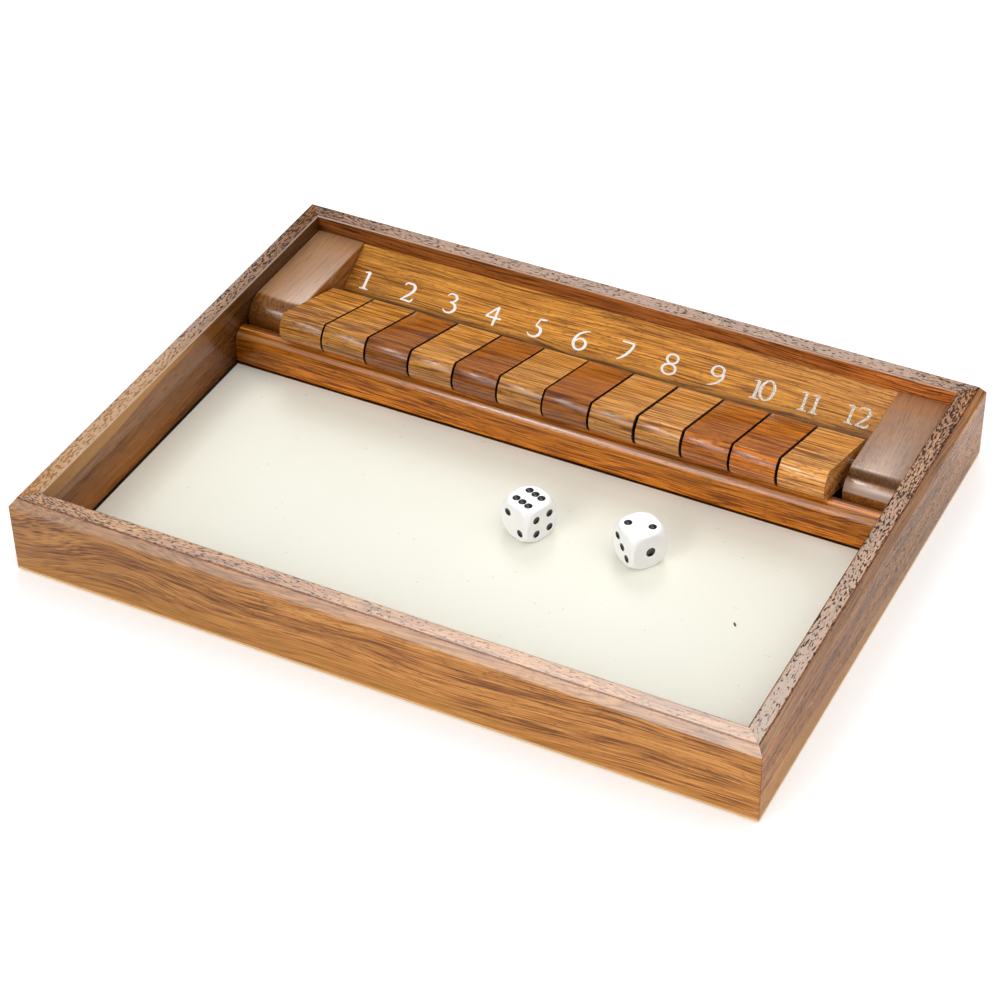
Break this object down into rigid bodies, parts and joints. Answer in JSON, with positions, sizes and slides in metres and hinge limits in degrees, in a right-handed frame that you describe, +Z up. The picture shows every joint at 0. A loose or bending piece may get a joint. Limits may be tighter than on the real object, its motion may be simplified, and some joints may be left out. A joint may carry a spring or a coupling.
{
  "type": "shut the box game",
  "caption": "Wooden dice tray with a row of flaps that turn on a rod, from resting on a rail to lying shut on a numbered board.",
  "frame": {"origin": "middle of the underside of the box", "axes": "+X along the row of flaps from number 1 to number 12, +Y from the player's side to the number board, +Z up"},
  "size_m": [0.35, 0.26, 0.0403],
  "materials": {
    "oak": "satin varnish",
    "oak_board": "satin varnish",
    "oak_flap": "satin varnish",
    "walnut": "satin varnish",
    "base_board": "matt",
    "leatherette": "fine grain, satin",
    "steel_rod": "drawn",
    "die_white": "polished, black pips"
  },
  "bodies": {
    "box": {"frame_front": "oak", "frame_back": "oak", "frame_left": "oak", "frame_right": "oak", "base_panel": "base_board", "playing_surface": "leatherette", "front_rail": "oak", "end_block_left": "oak", "end_block_right": "oak", "number_board": "oak_board", "pivot_rod": "steel_rod"},
    "flap_body_01": {"flap_01": "oak_flap"},
    "flap_body_02": {"flap_02": "oak_flap"},
    "flap_body_03": {"flap_03": "walnut"},
    "flap_body_04": {"flap_04": "oak_flap"},
    "flap_body_05": {"flap_05": "walnut"},
    "flap_body_06": {"flap_06": "oak_flap"},
    "flap_body_07": {"flap_07": "walnut"},
    "flap_body_08": {"flap_08": "oak_flap"},
    "flap_body_09": {"flap_09": "oak_flap"},
    "flap_body_10": {"flap_10": "walnut"},
    "flap_body_11": {"flap_11": "walnut"},
    "flap_body_12": {"flap_12": "oak_flap"},
    "die_a_body": {"die_a": "die_white"},
    "die_b_body": {"die_b": "die_white"}
  },
  "joints": [
    {"name": "flap_01_hinge", "type": "hinge", "parent": "box", "child": "flap_body_01", "pos_m": [0, 0.07696, 0.01848], "axis": [-1, 0, 0], "range_deg": [0, 131.9]},
    {"name": "flap_02_hinge", "type": "hinge", "parent": "box", "child": "flap_body_02", "pos_m": [0, 0.07696, 0.01848], "axis": [-1, 0, 0], "range_deg": [0, 131.9]},
    {"name": "flap_03_hinge", "type": "hinge", "parent": "box", "child": "flap_body_03", "pos_m": [0, 0.07696, 0.01848], "axis": [-1, 0, 0], "range_deg": [0, 131.9]},
    {"name": "flap_04_hinge", "type": "hinge", "parent": "box", "child": "flap_body_04", "pos_m": [0, 0.07696, 0.01848], "axis": [-1, 0, 0], "range_deg": [0, 131.9]},
    {"name": "flap_05_hinge", "type": "hinge", "parent": "box", "child": "flap_body_05", "pos_m": [0, 0.07696, 0.01848], "axis": [-1, 0, 0], "range_deg": [0, 131.9]},
    {"name": "flap_06_hinge", "type": "hinge", "parent": "box", "child": "flap_body_06", "pos_m": [0, 0.07696, 0.01848], "axis": [-1, 0, 0], "range_deg": [0, 131.9]},
    {"name": "flap_07_hinge", "type": "hinge", "parent": "box", "child": "flap_body_07", "pos_m": [0, 0.07696, 0.01848], "axis": [-1, 0, 0], "range_deg": [0, 131.9]},
    {"name": "flap_08_hinge", "type": "hinge", "parent": "box", "child": "flap_body_08", "pos_m": [0, 0.07696, 0.01848], "axis": [-1, 0, 0], "range_deg": [0, 131.9]},
    {"name": "flap_09_hinge", "type": "hinge", "parent": "box", "child": "flap_body_09", "pos_m": [0, 0.07696, 0.01848], "axis": [-1, 0, 0], "range_deg": [0, 131.9]},
    {"name": "flap_10_hinge", "type": "hinge", "parent": "box", "child": "flap_body_10", "pos_m": [0, 0.07696, 0.01848], "axis": [-1, 0, 0], "range_deg": [0, 131.9]},
    {"name": "flap_11_hinge", "type": "hinge", "parent": "box", "child": "flap_body_11", "pos_m": [0, 0.07696, 0.01848], "axis": [-1, 0, 0], "range_deg": [0, 131.9]},
    {"name": "flap_12_hinge", "type": "hinge", "parent": "box", "child": "flap_body_12", "pos_m": [0, 0.07696, 0.01848], "axis": [-1, 0, 0], "range_deg": [0, 131.9]},
    {"name": "die_a_lift", "type": "slide", "parent": "box", "child": "die_a_body", "axis": [0, 0, 1], "range_m": [0, 0.06]},
    {"name": "die_b_lift", "type": "slide", "parent": "box", "child": "die_b_body", "axis": [0, 0, 1], "range_m": [0, 0.06]}
  ]
}
